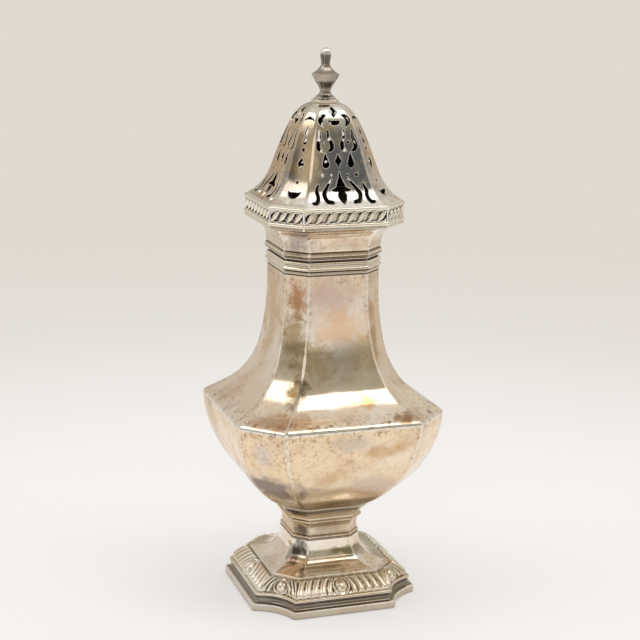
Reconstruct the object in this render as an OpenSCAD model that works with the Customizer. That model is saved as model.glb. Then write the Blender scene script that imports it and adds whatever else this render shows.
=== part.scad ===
// Octagonal sugar caster: soldered body and lift-off pierced cover
// Millimetres, +Z up, origin at the middle of the base

/* [Foot] */
// Width of the foot across its flats
foot_w = 59.6; // [48:0.2:72]
// Height of the moulded rim
rim_h = 5.9; // [4:0.1:7]
// Set-back of the rim's upper bead from its lower edge
rim_step = 1.7; // [1:0.1:2.4]
// Radius of the incurved corners
scallop_r = 16; // [12:0.5:20]
// Depth of the incurved corners
scallop_d = 2.3; // [1:0.1:3]
// Height of the ornamented band
border_h = 5.3; // [4.5:0.1:7]
// Width of the foot at the top of the ornamented band
border_top_w = 43.4; // [38:0.2:48]
// Radius of each egg
egg_r = 2.9; // [2:0.1:3.4]
// Depth of the carved lines
carve_d = 0.7; // [0.4:0.05:1]
// Height of the concave rise
rise_h = 9.7; // [8:0.1:14]

/* [Stem] */
// Height of the stem
stem_h = 12.4; // [10:0.1:16]
// Width of the stem under its lower bead
stem_w = 23.2; // [20:0.2:27]
// Width of the stem under the bowl
stem_top_w = 31.0; // [28:0.2:36]
// Swell of the beads
bead = 0.6; // [0.3:0.05:0.8]

/* [Body] */
// Width across the shoulder flats
body_w = 73.0; // [64:0.5:84]
// Height of the bowl
bowl_h = 34.7; // [28:0.1:42]
// Swell of the bowl's curve
bowl_bow = 5.4; // [3:0.1:6.5]
// Height of the upper body
upper_h = 48.0; // [42:0.5:58]
// Width of the neck across its flats
neck_w = 33.1; // [30:0.1:37]
// Thickness of the walls, measured level
wall = 1.1; // [0.9:0.1:1.8]
// Thickness of the bowl's floor
floor_t = 1.5; // [1.2:0.1:2.4]
// Half width of a main face at the neck, over half the width across flats
neck_share = 0.61; // [0.56:0.005:0.66]
// Half width of a main face at the shoulder, over half the width across flats
shoulder_share = 0.655; // [0.6:0.005:0.7]

/* [Neck moulding] */
// Height of the reeded ring
ring_h = 6.0; // [5:0.1:8]
// How far the ring stands out from the neck
ring_out = 1.4; // [0.9:0.1:2]

/* [Cover] */
// Gap at the seam between the cover and the neck
seam_gap = 0.25; // [0.2:0.05:0.4]
// Clearance of the sleeve in the neck, each side
sleeve_gap = 0.3; // [0.2:0.05:0.5]
// Depth of the sleeve
sleeve_d = 14; // [9:0.5:20]
// Thickness of the sleeve
sleeve_t = 0.9; // [0.6:0.1:1.2]
// Height of the cavetto collar
collar_h = 11.15; // [9:0.1:14]
// Height of the bordered band
band_h = 6.6; // [5.5:0.1:8]
// Width of the bordered band across its flats
band_w = 48.2; // [44:0.2:54]
// Depth of the sunk panels
panel_d = 0.9; // [0.5:0.1:1.2]
// Wanted distance from rope lobe to rope lobe
rope_pitch = 3.0; // [2.4:0.1:4]
// Lean of the rope lobes
rope_lean = 42; // [30:1:50]

/* [Dome] */
// Height of the pierced dome
dome_h = 32.2; // [29:0.1:38]
// Width of the dome at its foot
dome_w = 46.6; // [43:0.2:47.6]
// Thickness of the dome, measured level
dome_t = 1.2; // [0.9:0.1:1.6]
// Width of the cut lines
cut_w = 1.1; // [0.7:0.05:1.3]

/* [Finial] */
// Height of the flange under the finial
flange_h = 1.3; // [1:0.1:2]
// Width of the flange
flange_w = 8; // [7.4:0.1:10]
// Height of the finial
finial_h = 16.5; // [13:0.1:22]
// Width of the finial's knop
knop_w = 8.2; // [6.4:0.1:9]

/* [Hidden] */
$fn = 96;
arc_step = 5;
least_len = 0.4;
reach = body_w;
lap = 1;
share = 0.62;
z_rim = rim_h;
z_border = z_rim + border_h;
z_rise = z_border + rise_h;
z_stem = z_rise + stem_h;
z_body = z_stem + bowl_h;
z_neck = z_body + upper_h;
z_ring = z_neck + ring_h;
z_cover = z_ring + seam_gap;
z_collar = z_cover + collar_h;
z_band = z_collar + band_h;
z_dome = z_band + dome_h;
z_flange = z_dome + flange_h;

silver = [0.78, 0.74, 0.66];

// Corner distance over face distance for a given face share
function corner(s) = (1 + s) / sqrt(2);

// Outline of a side view, its edges bowed out (+) or in (-) and drawn as short straight lines
function steps(c, r) = max(2, min(ceil(2 * asin(c / 2 / r) / arc_step), ceil(c / least_len)));
function bowed(p, q, h) = h == 0 ? [p] :
  let (d = q - p, c = norm(d), u = d / c, n = [u[1], -u[0]] * sign(h), b = abs(h),
    r = (c * c / 4 + b * b) / (2 * b), t = asin(c / 2 / r), k = steps(c, r))
  [for (i = [0 : k - 1]) let (g = t * (2 * i / k - 1))
    (p + q) / 2 + u * r * sin(g) + n * (r * cos(g) - r + b)];
function outline(pts, bows) = concat(
  [for (i = [0 : len(bows) - 1]) each bowed(pts[i], pts[i + 1], bows[i])], [pts[len(pts) - 1]]);
function moved(pts, d) = [for (p = pts) [p[0] - d, p[1]]];

// Face share at each point of an outline, the same all the way or changing from z0 to z1
function even(pts, s) = [for (p = pts) s];
function blend(pts, z0, s0, z1, s1) =
  [for (p = pts) s0 + (s1 - s0) * max(0, min(1, (p[1] - z0) / (z1 - z0)))];

module full_view(pts) polygon(concat(pts, [for (i = [len(pts) - 1 : -1 : 0]) [-pts[i][0], pts[i][1]]]));

module slab() rotate([90, 0, 0]) linear_extrude(height = 2 * reach, center = true) children();

// Four-sided body with the same outline on all sides
module four_sided(pts) intersection() {
  slab() full_view(pts);
  rotate([0, 0, 90]) slab() full_view(pts);
}

// Eight-sided body: main faces from pts, corner faces by the share at each point
module eight_sided(pts, s) intersection() {
  four_sided(pts);
  rotate([0, 0, 45]) four_sided([for (i = [0 : len(pts) - 1]) [pts[i][0] * corner(s[i]), pts[i][1]]]);
}

module octagon(a, s) intersection() {
  square([2 * a, 2 * a], center = true);
  rotate(45) square([2 * a * corner(s), 2 * a * corner(s)], center = true);
}

// Foot
foot_a = foot_w / 2;
border_top_a = border_top_w / 2;
rim_top_a = foot_a - rim_step;
rim_pts = [[foot_a, 0], [foot_a, rim_h * 0.5], [foot_a - rim_step * 0.6, rim_h * 0.56],
  [rim_top_a - 0.3, rim_h * 0.8], [rim_top_a, rim_h * 0.88], [rim_top_a, rim_h]];
border_pts = outline([[rim_top_a - 0.2, z_rim], [border_top_a + 0.3, z_border - 0.9],
  [border_top_a + 0.3, z_border - 0.4], [border_top_a, z_border]], [1.1, 0, 0]);
rim_open_a = foot_a - 5.2;
scallop_at = foot_a * corner(share) - scallop_d + scallop_r;
corner_drop = 0.1;

// Incurved corners: each a turned cutter that keeps the side view's moulding
module scallops(pts) {
  n = len(pts) - 1;
  far = scallop_r + foot_a;
  for (q = [45 : 90 : 315]) rotate([0, 0, q]) translate([scallop_at, 0, 0]) rotate_extrude()
    polygon(concat([[0, pts[0][1] - lap], [far - pts[0][0], pts[0][1] - lap]],
      [for (p = pts) [far - p[0], p[1]]],
      [[far - pts[n][0], pts[n][1] + lap], [0, pts[n][1] + lap]]));
}

module foot_rim() color(silver) difference() {
  four_sided(rim_pts);
  translate([0, 0, -corner_drop]) scallops(rim_pts);
  translate([0, 0, -lap]) linear_extrude(height = rim_h + 2 * lap) octagon(rim_open_a, share);
}

module border_body(d) difference() {
  four_sided(moved(border_pts, d));
  scallops(moved(border_pts, d));
}

// Carved lines of the ornamented band, seen square to its slope
egg_z = z_rim + border_h * 0.47;
module carving(arms) {
  for (r = [egg_r * 1.3, egg_r * 1.85, egg_r * 2.4]) intersection() {
    difference() {
      circle(r + 0.25);
      circle(r - 0.25);
    }
    translate([-2 * r, -egg_r * 2.2]) square([4 * r, egg_r * 3.4]);
  }
  for (s = [0, 1], i = [0 : arms - 1]) mirror([s, 0])
    translate([egg_r * 2.9 + i * 1.3, 0]) rotate(-8 - 3 * i) square([0.5, egg_r * 3], center = true);
}

module on_slope(a) translate([0, -a, egg_z]) rotate([45, 0, 0]) children();

border_in_pts = [[rim_open_a, z_rim - lap], [rim_open_a, z_rim], [border_top_a - 2.2, z_border - 1.6],
  [border_top_a - 2.2, z_border + lap]];
egg_a = (rim_top_a + border_top_a) / 2 + 0.6;
egg_corner_a = scallop_at - scallop_r - (foot_a - egg_a);
egg_sink = 1.2;

module carved_border() difference() {
  border_body(0);
  difference() {
    union() {
      for (q = [0 : 90 : 270]) rotate([0, 0, q]) on_slope(egg_a)
        translate([0, 0, -egg_r]) linear_extrude(height = 3 * egg_r) carving(3);
      for (q = [45 : 90 : 315]) rotate([0, 0, q]) on_slope(egg_corner_a)
        translate([0, 0, -egg_r]) linear_extrude(height = 3 * egg_r) carving(0);
    }
    border_body(carve_d);
  }
}

module eggs() intersection() {
  union() {
    for (q = [0 : 90 : 270]) rotate([0, 0, q]) translate([0, egg_sink - egg_a, egg_z - egg_sink]) sphere(egg_r);
    for (q = [45 : 90 : 315]) rotate([0, 0, q])
      translate([0, egg_sink - egg_corner_a, egg_z - egg_sink]) sphere(egg_r);
  }
  translate([-reach, -reach, z_rim]) cube([2 * reach, 2 * reach, border_h]);
}

module foot_border() color(silver) difference() {
  union() {
    carved_border();
    eggs();
  }
  eight_sided(border_in_pts, even(border_in_pts, share));
}

stem_a = stem_w / 2;
rise_top_a = stem_a + 0.7;
rise_pts = outline([[border_top_a - 0.5, z_border], [border_top_a - 0.8, z_border + 0.6],
  [rise_top_a + 0.45, z_rise - 1.9], [rise_top_a, z_rise]], [0, -2.1, 0]);
rise_in_pts = outline([[border_top_a - 2.6, z_border - lap], [border_top_a - 2.6, z_border],
  [rise_top_a - 1.2, z_rise - 2.2], [rise_top_a - 1.6, z_rise + lap]], [0, -1.9, 0]);

module foot_rise() color(silver) difference() {
  eight_sided(rise_pts, even(rise_pts, share));
  eight_sided(rise_in_pts, even(rise_in_pts, share));
}

// Stem
stem_top_a = stem_top_w / 2;
stem_pts = outline([[stem_a, z_rise], [stem_a, z_rise + stem_h * 0.14], [stem_a + 0.15, z_rise + stem_h * 0.16],
  [stem_a + 0.7, z_rise + stem_h * 0.49], [stem_a + 1.0, z_rise + stem_h * 0.5],
  [stem_a + 1.0, z_rise + stem_h * 0.62], [stem_a + 0.8, z_rise + stem_h * 0.64],
  [stem_top_a - 1.0, z_rise + stem_h * 0.9], [stem_top_a - 0.2, z_rise + stem_h * 0.91],
  [stem_top_a, z_stem]], [bead, 0, -0.4, 0, bead, 0, -0.4, 0, 0]);

module stem() color(silver) difference() {
  eight_sided(stem_pts, even(stem_pts, share));
  translate([0, 0, z_rise - lap]) linear_extrude(height = stem_h + 2 * lap) octagon(stem_a - 3, share);
}

// Body
body_a = body_w / 2;
neck_a = neck_w / 2;
bore_a = neck_a - wall;
bowl_pts = outline([[stem_top_a, z_stem], [body_a, z_body]], [bowl_bow]);
bowl_in_pts = outline([[stem_top_a - wall * 0.5, z_stem + floor_t], [body_a - wall, z_body],
  [body_a - wall, z_body + lap]], [bowl_bow * 0.97, 0]);

module bowl() color(silver) difference() {
  eight_sided(bowl_pts, blend(bowl_pts, z_stem, share, z_body, shoulder_share));
  eight_sided(bowl_in_pts, blend(bowl_in_pts, z_stem, share, z_body, shoulder_share));
}

upper_keys = [[body_a, z_body], [neck_a + (body_a - neck_a) * 0.474, z_body + upper_h * 0.188],
  [neck_a + (body_a - neck_a) * 0.218, z_body + upper_h * 0.325]];
upper_pts = outline(concat(upper_keys, [[neck_a, z_body + upper_h * 0.833], [neck_a, z_neck]]),
  [0.4, -0.55, -1.1, 0]);
upper_in_pts = outline(concat([[body_a - wall, z_body - lap]], moved(upper_keys, wall),
  [[bore_a, z_body + upper_h * 0.8], [bore_a, z_neck + lap]]), [0, 0.35, -0.5, -0.8, 0]);

module upper_body() color(silver) difference() {
  eight_sided(upper_pts, blend(upper_pts, z_body, shoulder_share, z_neck, neck_share));
  eight_sided(upper_in_pts, blend(upper_in_pts, z_body, shoulder_share, z_neck, neck_share));
}

// Neck moulding
ring_a = neck_a + ring_out;
reed_a = ring_a - 0.85;
ring_pts = outline([[reed_a, z_neck], [reed_a, z_neck + ring_h * 0.2], [reed_a, z_neck + ring_h * 0.235],
  [ring_a - 0.1, z_neck + ring_h * 0.25], [ring_a - 0.1, z_neck + ring_h * 0.52],
  [reed_a + 0.4, z_neck + ring_h * 0.55], [reed_a + 0.4, z_neck + ring_h * 0.71],
  [reed_a, z_neck + ring_h * 0.74], [reed_a, z_neck + ring_h * 0.83], [reed_a, z_ring]],
  [0.45, 0, 0, 0.12, 0, 0.4, 0, -0.1, 0.45]);

module neck_moulding() color(silver) difference() {
  eight_sided(ring_pts, even(ring_pts, neck_share));
  translate([0, 0, z_neck - lap]) linear_extrude(height = ring_h + 2 * lap) octagon(bore_a, neck_share);
}

// Cover
sleeve_a = bore_a - sleeve_gap;
sleeve_in_a = sleeve_a - sleeve_t;
band_a = band_w / 2;
ring_wall = 2.4;

module cover_sleeve() color(silver) translate([0, 0, z_cover - sleeve_d])
  linear_extrude(height = sleeve_d) difference() {
    octagon(sleeve_a, neck_share);
    octagon(sleeve_in_a, neck_share);
  }

collar_top_a = band_a - 0.5;
collar_pts = outline([[reed_a + 0.1, z_cover], [reed_a + 0.1, z_cover + 0.95], [neck_a - 0.2, z_cover + 1.3],
  [neck_a + 0.2, z_cover + collar_h * 0.42], [collar_top_a - 0.8, z_collar - 0.25], [collar_top_a, z_collar]],
  [0.35, 0, 0, -1.75, 0]);
collar_in_pts = outline([[sleeve_in_a, z_cover - lap], [sleeve_in_a, z_cover + 1.3],
  [neck_a - 1.2, z_cover + 1.9], [neck_a - 1.0, z_cover + collar_h * 0.46], [band_a - ring_wall, z_collar],
  [band_a - ring_wall, z_collar + lap]], [0, 0, 0, -1.5, 0]);

module cover_collar() color(silver) difference() {
  eight_sided(collar_pts, blend(collar_pts, z_cover, neck_share, z_collar, share));
  eight_sided(collar_in_pts, blend(collar_in_pts, z_cover, neck_share, z_collar, share));
}

fillet_h = band_h * 0.2;
panel_h = band_h - 2 * fillet_h;
panel_z = z_collar + band_h / 2;
main_len = 2 * band_a * share;
corner_len = sqrt(2) * band_a * (1 - share);
corner_band_a = band_a * corner(share);
band_pts = outline([[band_a - 0.3, z_collar], [band_a - 0.3, z_collar + fillet_h], [band_a - 0.3, z_band - fillet_h],
  [band_a - 0.3, z_band]], [0.3, 0, 0.3]);

// Sunk panel with round ends, len long, gap smaller all round
module panel(len, gap) {
  r = panel_h / 2 - gap;
  square([len - panel_h - 1.2, 2 * r], center = true);
  for (s = [-1, 1]) translate([s * (len - panel_h - 1.2) / 2, 0]) circle(r);
}

module facing(a) translate([0, -a, panel_z]) rotate([90, 0, 0]) children();

module border_ring() color(silver) difference() {
  eight_sided(band_pts, even(band_pts, share));
  for (q = [0 : 90 : 270]) rotate([0, 0, q]) facing(band_a - panel_d)
    linear_extrude(height = panel_d + lap) panel(main_len, 0);
  for (q = [45 : 90 : 315]) rotate([0, 0, q]) facing(corner_band_a - panel_d)
    linear_extrude(height = panel_d + lap) panel(corner_len, 0);
  translate([0, 0, z_collar - lap]) linear_extrude(height = band_h + 2 * lap) octagon(band_a - ring_wall, share);
}

// Slanted lobes filling one panel
rope_r = 1.35;
module rope(len) intersection() {
  n = max(2, round((len - 2) / rope_pitch));
  linear_extrude(height = panel_d + rope_r) panel(len, 0.1);
  for (i = [0 : n]) translate([(i - n / 2) * (len - 2) / n, 0, panel_d - rope_r + 0.25])
    rotate([0, 0, -rope_lean]) rotate([90, 0, 0]) cylinder(r = rope_r, h = 3 * panel_h, center = true);
}

module rope_border() color(silver) {
  for (q = [0 : 90 : 270]) rotate([0, 0, q]) facing(band_a - panel_d) rope(main_len);
  for (q = [45 : 90 : 315]) rotate([0, 0, q]) facing(corner_band_a - panel_d) rope(corner_len);
}

// Dome
dome_a = dome_w / 2;
dome_top_a = flange_w / 2 - 0.6;
dome_keys = [[dome_a, z_band], [dome_a * 0.811, z_band + dome_h * 0.13],
  [dome_a * 0.661, z_band + dome_h * 0.373], [dome_a * 0.489, z_band + dome_h * 0.727]];
dome_bows = [-0.3, -0.35, 0.15, 1.6];
dome_pts = outline(concat(dome_keys, [[dome_top_a, z_dome]]), dome_bows);
dome_in_pts = outline(concat([[dome_a - dome_t, z_band - lap]], moved(dome_keys, dome_t),
  [[dome_top_a - dome_t, z_dome - dome_t]]), concat([0], dome_bows));
cut_scale = min(dome_h / 32.2, dome_w / 46.6);

// Cut line along a circle from angle t1 to angle t2
module arc_cut(c, r, t1, t2, w) intersection() {
  m = (t1 + t2) / 2;
  f = 2 * (r + w);
  translate(c) difference() {
    circle(r + w / 2);
    circle(r - w / 2);
  }
  translate(c) polygon([[0, 0], f * [cos(t1), sin(t1)], f * [cos((t1 + m) / 2), sin((t1 + m) / 2)],
    f * [cos(m), sin(m)], f * [cos((t2 + m) / 2), sin((t2 + m) / 2)], f * [cos(t2), sin(t2)]]);
}

module lozenge(x, z, w, h) polygon([[x, z - h / 2], [x + w / 2, z], [x, z + h / 2], [x - w / 2, z]]);

module dot(x, z, r) translate([x, z]) circle(r);

// Drop with its point upward
module drop(x, z, r, h) {
  dot(x, z, r);
  t = asin(r / (h - r));
  polygon([[x - r * cos(t), z + r * sin(t)], [x + r * cos(t), z + r * sin(t)], [x, z + h - r]]);
}

module lyre_side() {
  arc_cut([5.5, 22.4], 4, 158, 213, cut_w);
  arc_cut([0.75, 19.4], 1.6, -80, 34, cut_w);
}

// Piercing of a main panel, height counted from the dome's foot
module main_piercing() {
  lozenge(0, 29.5, 2.1, 3.0);
  intersection() {
    dot(0, 27.2, 1.7);
    translate([-2, 25]) square([4, 2]);
  }
  lozenge(0, 14.1, 2.8, 4.4);
  polygon([[0, 10.4], [1.05, 7.2], [0.6, 5.3], [3.2, 5.6], [3.2, 4.9], [1.9, 4.4], [0, 0.9],
    [-1.9, 4.4], [-3.2, 4.9], [-3.2, 5.6], [-0.6, 5.3], [-1.05, 7.2]]);
  for (s = [0, 1]) mirror([s, 0]) {
    arc_cut([2.9, 26.8], 1.5, -60, 85, cut_w);
    translate([3.7, 0]) {
      lyre_side();
      mirror([1, 0]) lyre_side();
      dot(0, 19.8, 0.75);
    }
    drop(4.35, 12.6, 1.0, 5.0);
    dot(6.0, 9.4, 0.65);
    dot(2.55, 9.6, 0.45);
    arc_cut([4.7, 3.0], 1.8, -130, 51, cut_w * 1.15);
    arc_cut([9.65, 8.9], 5.9, 184, 231, cut_w * 1.15);
    arc_cut([10.9, 3.0], 1.9, 188, 270, cut_w);
    arc_cut([4.1, 1.8], 5.0, 9, 52, cut_w);
  }
}

// Piercing of a corner panel
module corner_piercing() {
  arc_cut([0, 25.9], 1.5, 25, 155, cut_w);
  drop(0, 20.2, 0.7, 5.3);
  dot(0, 17.5, 0.85);
  lozenge(0, 12.9, 2.0, 3.4);
  dot(0, 10.1, 0.4);
  dot(0, 7.1, 0.85);
  arc_cut([0, 5.2], 2.2, 205, 335, cut_w * 1.1);
}

module through() translate([0, -2, z_band]) rotate([90, 0, 0]) linear_extrude(height = reach)
  scale([cut_scale, cut_scale]) children();

module pierced_dome() color(silver) difference() {
  eight_sided(dome_pts, even(dome_pts, share));
  eight_sided(dome_in_pts, even(dome_in_pts, share));
  for (q = [0 : 90 : 270]) rotate([0, 0, q]) through() main_piercing();
  for (q = [45 : 90 : 315]) rotate([0, 0, q]) through() corner_piercing();
}

// Finial
flange_a = flange_w / 2;
flange_pts = outline([[flange_a - 0.2, z_dome], [flange_a - 0.2, z_flange - 0.4], [flange_a - 0.9, z_flange]],
  [0.15, 0]);

module finial_flange() color(silver) eight_sided(flange_pts, even(flange_pts, share));

knop_a = knop_w / 2;
waist_a = 1.6;
neck_bud_a = 1.25;
finial_pts = outline([[flange_a - 0.9, z_flange], [waist_a, z_flange + finial_h * 0.13],
  [waist_a + 0.15, z_flange + finial_h * 0.21], [knop_a * 0.7, z_flange + finial_h * 0.31],
  [knop_a, z_flange + finial_h * 0.475], [neck_bud_a, z_flange + finial_h * 0.665],
  [neck_bud_a, z_flange + finial_h * 0.7], [0.4, z_flange + finial_h]],
  [-0.25, 0, 0.12, 0.12, -0.45, 0, 0.75]);

module finial() color(silver) eight_sided(finial_pts, even(finial_pts, share));

foot_rim();
foot_border();
foot_rise();
stem();
bowl();
upper_body();
neck_moulding();
cover_sleeve();
cover_collar();
border_ring();
rope_border();
pierced_dome();
finial_flange();
finial();
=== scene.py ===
import bmesh
import bpy
import math
from functools import partial
from mathutils import Matrix, Vector


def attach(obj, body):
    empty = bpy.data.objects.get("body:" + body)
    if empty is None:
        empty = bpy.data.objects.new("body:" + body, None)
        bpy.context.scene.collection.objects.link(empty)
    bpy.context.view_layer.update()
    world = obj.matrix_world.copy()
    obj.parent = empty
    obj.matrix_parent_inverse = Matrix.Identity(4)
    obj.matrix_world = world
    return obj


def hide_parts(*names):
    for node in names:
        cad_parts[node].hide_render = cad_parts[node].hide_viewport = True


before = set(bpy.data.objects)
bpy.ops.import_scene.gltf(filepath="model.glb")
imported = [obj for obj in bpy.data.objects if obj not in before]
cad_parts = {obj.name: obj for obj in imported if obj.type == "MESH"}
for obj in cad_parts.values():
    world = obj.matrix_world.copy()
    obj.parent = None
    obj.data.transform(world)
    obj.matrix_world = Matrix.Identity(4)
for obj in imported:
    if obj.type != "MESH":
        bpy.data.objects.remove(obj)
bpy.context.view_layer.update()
mm = 0.001


# working helpers

weldReach = 1e-6  # m, points nearer than this are one
onAxis = 1e-7  # m, a point nearer the axis than this has no direction
tiny = 1e-6  # mm, a length or bow below this is none
sameSize = 1e-9  # a ratio nearer 1 than this changes nothing
arcTurn = math.radians(14)  # widest step along a bowed run
arrisTurn = math.radians(9)  # an edge that turns less than this about the axis runs along an arris
arrisSteps = 4  # faces across a worn arris
facetTurn = 34  # degrees, faces that meet more sharply keep a crisp edge
knotPairs = (((0, 1), (1, 2), (2, 3)), ((0, 2), (1, 3)), ((1, 2),))  # blended between, round by round


def setMode(mode):
    bpy.ops.object.mode_set(mode=mode)


def leaveEdit():
    if bpy.context.object and bpy.context.object.mode != "OBJECT":
        setMode("OBJECT")
    bpy.ops.object.select_all(action="DESELECT")


def pick(piece):
    leaveEdit()
    piece.select_set(True)
    bpy.context.view_layer.objects.active = piece


def editAll(piece):
    pick(piece)
    setMode("EDIT")
    bpy.ops.mesh.select_all(action="SELECT")


def closeEdit(weld=False):
    # faces are turned outward, and a loft that meets its own start is welded there
    bpy.ops.mesh.select_all(action="SELECT")
    if weld:
        bpy.ops.mesh.remove_doubles(threshold=weldReach)
    bpy.ops.mesh.normals_make_consistent(inside=False)
    setMode("OBJECT")


def addCircle(name, count, radius, fill="NOTHING"):
    leaveEdit()
    bpy.ops.mesh.primitive_circle_add(vertices=count, radius=radius, fill_type=fill)
    bpy.context.object.name = name
    return bpy.context.object


def joinPieces(pieces):
    leaveEdit()
    for piece in pieces:
        piece.select_set(True)
    bpy.context.view_layer.objects.active = pieces[0]
    bpy.ops.object.join()
    return bpy.context.object


def selectBy(piece, kind, test):
    bpy.ops.mesh.select_all(action="DESELECT")
    bpy.ops.mesh.select_mode(type=kind)
    mesh = bmesh.from_edit_mesh(piece.data)
    for item in mesh.edges if kind == "EDGE" else mesh.faces:
        if test(item):
            item.select_set(True)
    bmesh.update_edit_mesh(piece.data)


def applyModifier(piece, kind, settings):
    pick(piece)
    bpy.ops.object.modifier_add(type=kind)
    modifier = piece.modifiers[-1]
    for key, value in settings.items():
        setattr(modifier, key, value)
    bpy.ops.object.modifier_apply(modifier=modifier.name)


def thicken(piece, wall):
    applyModifier(piece, "SOLIDIFY", {"thickness": wall * mm, "offset": -1, "use_even_offset": True})


def smoothPath(points, step):
    # a soft curve through key points in mm, sampled about every step mm
    keys = [Vector(point) for point in points]
    keys = [2 * keys[0] - keys[1]] + keys + [2 * keys[-1] - keys[-2]]
    path = []
    for before, start, end, after in zip(keys, keys[1:], keys[2:], keys[3:]):
        knots = [0.0]
        for first, second in ((before, start), (start, end), (end, after)):
            knots.append(knots[-1] + max((second - first).length, tiny) ** 0.5)
        count = max(1, round((end - start).length / step))
        for index in range(count):
            t = knots[1] + (knots[2] - knots[1]) * index / count
            layer = [before, start, end, after]
            for pairs in knotPairs:
                shares = [(t - knots[low]) / (knots[high] - knots[low]) for low, high in pairs]
                layer = [layer[i] * (1 - share) + layer[i + 1] * share for i, share in enumerate(shares)]
            path.append(tuple(layer[0]))
    path.append(tuple(keys[-2]))
    return path


def bowedPath(points, bows, step):
    # straight and bowed runs between key points in mm, bow is the rise of the arc
    path = []
    for start, end, bow in zip(points, points[1:], bows):
        p, q = Vector(start), Vector(end)
        chord = (q - p).length
        along = (q - p) / chord
        across = Vector((along.y, -along.x))
        if abs(bow) < tiny:
            path.append(tuple(p))
            continue
        radius = (chord * chord / 4 + bow * bow) / (2 * abs(bow))
        half = math.asin(min(1.0, chord / 2 / radius))
        count = max(3, math.ceil(2 * half / arcTurn), math.ceil(chord / step))
        for index in range(count):
            turn = half * (2 * index / count - 1)
            rise = (radius * math.cos(turn) - radius + abs(bow)) * math.copysign(1, bow)
            path.append(tuple((p + q) / 2 + along * radius * math.sin(turn) + across * rise))
    path.append(tuple(points[-1]))
    return path


def outlineOf(shape):
    # a shape's outside from foot to top: a bowed foot if it has one, then bowed or soft runs
    path = bowedPath(shape["foot"], shape["footBows"], shape["step"]) if "foot" in shape else []
    if "bows" in shape:
        return path + bowedPath(shape["keys"], shape["bows"], shape["step"])
    for part in ("keys", "top"):
        path = path + (smoothPath(shape[part], shape["step"]) if part in shape else [])
    return path


def shareAt(z, shape):
    # half face width over face distance, set or blended between two levels
    if "share" in shape:
        return shape["share"]
    (zLow, shareLow), (zHigh, shareHigh) = shape["low"], shape["high"]
    t = min(1.0, max(0.0, (z - zLow) / (zHigh - zLow)))
    return shareLow + (shareHigh - shareLow) * t


def isSideways(vert):
    return abs(vert.co.x) > abs(vert.co.y)


def scaleChosen(value):
    bpy.ops.transform.resize(value=value, center_override=(0, 0, 0))


def raiseRing(rise):
    bpy.ops.mesh.extrude_edges_move(TRANSFORM_OT_translate={"value": (0, 0, rise * mm)})


def resizeRing(piece, ratio, spread=1):
    # the selected ring is scaled, then each pair of opposite sides is spread along itself
    if abs(ratio - 1) > sameSize:
        scaleChosen((ratio, ratio, 1))
    if abs(spread - 1) < sameSize:
        return
    mesh = bmesh.from_edit_mesh(piece.data)
    ring = [vert.index for vert in mesh.verts if vert.select]
    for sideways in (True, False):
        mesh = bmesh.from_edit_mesh(piece.data)
        mesh.verts.ensure_lookup_table()
        for index in ring:
            mesh.verts[index].select_set(isSideways(mesh.verts[index]) == sideways)
        mesh.select_flush_mode()
        bmesh.update_edit_mesh(piece.data)
        scaleChosen((1, spread, 1) if sideways else (spread, 1, 1))
    mesh = bmesh.from_edit_mesh(piece.data)
    mesh.verts.ensure_lookup_table()
    for index in ring:
        mesh.verts[index].select_set(True)
    mesh.select_flush(True)
    bmesh.update_edit_mesh(piece.data)


def loftOctagon(name, shape, path, closeLow=False, closeHigh=False, wrap=False):
    # eight-sided body raised ring by ring along a path of (face distance, height) in mm
    rings = [(half, shareAt(z, shape), z) for half, z in path]
    eighth = math.pi / 8
    piece = addCircle(name, 8, 1)
    editAll(piece)
    bpy.ops.transform.rotate(value=eighth, orient_axis="Z", center_override=(0, 0, 0))
    half, share, z = rings[0]
    bpy.ops.transform.translate(value=(0, 0, z * mm))
    resizeRing(piece, half * mm / math.cos(eighth), share / math.tan(eighth))
    if closeLow:
        bpy.ops.mesh.edge_face_add()
    for nextHalf, nextShare, nextZ in rings[1:]:
        raiseRing(nextZ - z)
        resizeRing(piece, nextHalf / half, nextShare / share)
        half, share, z = nextHalf, nextShare, nextZ
    if closeHigh:
        bpy.ops.mesh.edge_face_add()
    closeEdit(wrap)
    return piece


def isArris(edge):
    start, end = (Vector(vert.co.xy) for vert in edge.verts)
    if min(start.length, end.length) < onAxis:
        return False
    return abs(start.angle_signed(end)) < arrisTurn


def roundArrises(piece, width, beyond=0):
    # long corner edges more than beyond mm out are worn soft, and the worn strip is kept as an attribute
    def isWorn(edge):
        reaches = [max(abs(vert.co.x), abs(vert.co.y)) for vert in edge.verts]
        return isArris(edge) and min(reaches) > beyond * mm

    pick(piece)
    setMode("EDIT")
    selectBy(piece, "EDGE", isWorn)
    bpy.ops.mesh.bevel(offset=width * mm, offset_type="OFFSET", segments=arrisSteps, profile=0.5,
                       affect="EDGES", clamp_overlap=False)
    mesh = bmesh.from_edit_mesh(piece.data)
    wear = mesh.verts.layers.float.new("wear")
    for vert in mesh.verts:
        vert[wear] = float(vert.select and all(face.select for face in vert.link_faces))
    bmesh.update_edit_mesh(piece.data)
    setMode("OBJECT")


def polish(piece, angle=facetTurn):
    # smooth shading that keeps the flat faces flat
    pick(piece)
    bpy.ops.object.shade_smooth_by_angle(angle=math.radians(angle))
    applyModifier(piece, "WEIGHTED_NORMAL", {"mode": "FACE_AREA", "weight": 50, "keep_sharp": True})


def settle(piece, node, body, material):
    piece.data.materials.clear()
    piece.data.materials.append(material)
    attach(piece, body)
    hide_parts(node)
    print(piece.name, len(piece.data.polygons), "faces")


def makeShell(name, shape, closeLow=False):
    # raised work, an octagonal shell of even wall
    shell = loftOctagon(name, shape, outlineOf(shape), closeLow)
    roundArrises(shell, shape["arris"])
    thicken(shell, shape["wall"])
    polish(shell)
    return shell


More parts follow.
